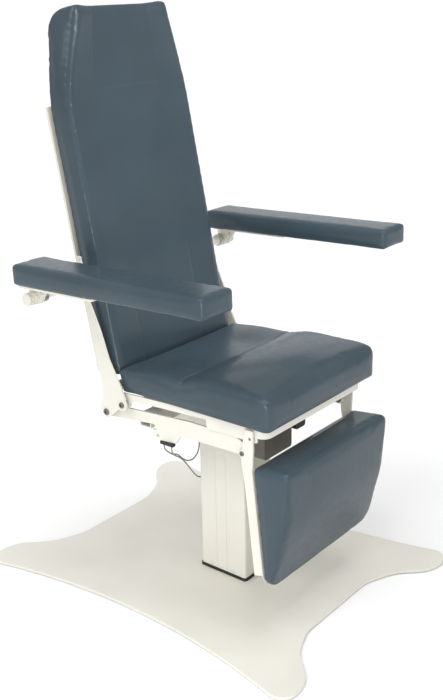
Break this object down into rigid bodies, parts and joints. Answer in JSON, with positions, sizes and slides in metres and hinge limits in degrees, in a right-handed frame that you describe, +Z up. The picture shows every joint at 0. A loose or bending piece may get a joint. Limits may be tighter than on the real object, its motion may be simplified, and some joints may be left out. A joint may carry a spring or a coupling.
{
  "type": "powered procedure chair",
  "caption": "Powered medical procedure chair with lift column, reclining bolstered back, linked leg rest, flip-up padded arms and butterfly base plate.",
  "frame": {"origin": "on the floor, under the middle of the base plate", "axes": "+Z up, chair faces -Y, the sitter's left is +X"},
  "size_m": [0.908, 1.116, 1.6174],
  "materials": {
    "ivory_paint": "semi-gloss powder coat",
    "white_screw": "semi-gloss",
    "black_rubber": "matt",
    "bare_steel": "satin",
    "rod_chrome": "polished",
    "zinc_steel": "zinc plated",
    "actuator_aluminium": "satin",
    "black_plastic": "fine texture",
    "cable_jacket": "satin",
    "grey_plastic": "fine texture",
    "ivory_plastic": "semi-gloss",
    "blue_grey_vinyl": "satin grained vinyl",
    "plywood": "raw",
    "ivory_board": "painted plywood"
  },
  "bodies": {
    "base": {"base_plate": "ivory_paint", "base_pads": "black_rubber", "inner_column": "bare_steel", "column_bolts": "zinc_steel", "column_gasket": "black_rubber", "lift_actuator": "actuator_aluminium"},
    "chassis": {"column_shroud": "ivory_paint", "shroud_screws": "white_screw", "head_plate": "bare_steel", "lift_rod": "rod_chrome", "spine_beam": "ivory_paint", "beam_end_caps": "grey_plastic", "power_inlet": "black_plastic", "chassis_front_cross_member": "ivory_paint", "chassis_rear_cross_member": "ivory_paint", "chassis_rail_left": "ivory_paint", "chassis_rail_right": "ivory_paint", "back_pivot_bolts": "zinc_steel", "leg_pivot_pins": "zinc_steel", "back_actuator_tube": "actuator_aluminium", "back_actuator_motor": "black_plastic", "actuator_bracket": "ivory_paint", "cable_clip": "black_plastic", "column_connector": "black_plastic", "beam_gland": "black_plastic", "lift_cable": "cable_jacket", "back_cable": "cable_jacket"},
    "back": {"back_plate_left": "ivory_paint", "back_plate_right": "ivory_paint", "seat_link_bolts": "zinc_steel", "back_cross_tube": "ivory_paint", "back_straps": "ivory_paint", "drive_lever": "ivory_paint", "drive_pin": "zinc_steel", "back_board": "ivory_board", "back_cushion": "blue_grey_vinyl", "arm_tube": "ivory_paint", "arm_tube_caps": "ivory_plastic", "arm_tube_brackets": "ivory_paint", "arm_stop_collars": "bare_steel"},
    "seat": {"seat_rail_left": "ivory_paint", "seat_rail_right": "ivory_paint", "seat_front_rail": "ivory_paint", "seat_cross_bars": "ivory_paint", "seat_board": "plywood", "seat_cushion": "blue_grey_vinyl"},
    "leg_rest": {"leg_plate_left": "ivory_paint", "leg_plate_right": "ivory_paint", "leg_cross_tube": "ivory_paint", "leg_link_pins": "zinc_steel", "leg_gussets": "ivory_paint", "leg_board": "ivory_board", "leg_cushion": "blue_grey_vinyl"},
    "actuator_rod": {"back_actuator_rod": "rod_chrome"},
    "arm_left": {"arm_pad_left": "blue_grey_vinyl", "arm_bar_left": "ivory_paint", "arm_bracket_left": "ivory_paint"},
    "arm_right": {"arm_pad_right": "blue_grey_vinyl", "arm_bar_right": "ivory_paint", "arm_bracket_right": "ivory_paint"}
  },
  "joints": [
    {"name": "column_lift", "type": "slide", "parent": "base", "child": "chassis", "axis": [0, 0, 1], "range_m": [0, 0.28]},
    {"name": "back_recline", "type": "hinge", "parent": "chassis", "child": "back", "pos_m": [0, 0.166, 0.541], "axis": [-1, 0, 0], "range_deg": [0, 65]},
    {"name": "seat_glide", "type": "hinge", "parent": "back", "child": "seat", "pos_m": [0, 0.106, 0.575], "axis": [-1, 0, 0], "range_deg": [-72, 0]},
    {"name": "leg_raise", "type": "hinge", "parent": "chassis", "child": "leg_rest", "pos_m": [0, -0.283, 0.527], "axis": [-1, 0, 0], "range_deg": [0, 78.5]},
    {"name": "back_rod_slide", "type": "slide", "parent": "chassis", "child": "actuator_rod", "axis": [0, 1, 0], "range_m": [-0.06, 0]},
    {"name": "arm_left_flip", "type": "hinge", "parent": "back", "child": "arm_left", "pos_m": [0.3945, 0.278, 0.885], "axis": [-1, 0, 0], "range_deg": [0, 95]},
    {"name": "arm_right_flip", "type": "hinge", "parent": "back", "child": "arm_right", "pos_m": [-0.3945, 0.278, 0.885], "axis": [-1, 0, 0], "range_deg": [0, 95]}
  ],
  "couplings": [
    {"joint": "seat_glide", "follows": "back_recline", "ratio": -1.1},
    {"joint": "leg_raise", "follows": "back_recline", "ratio": 1.2},
    {"joint": "back_rod_slide", "follows": "back_recline", "m_per_rad": -0.05218}
  ]
}
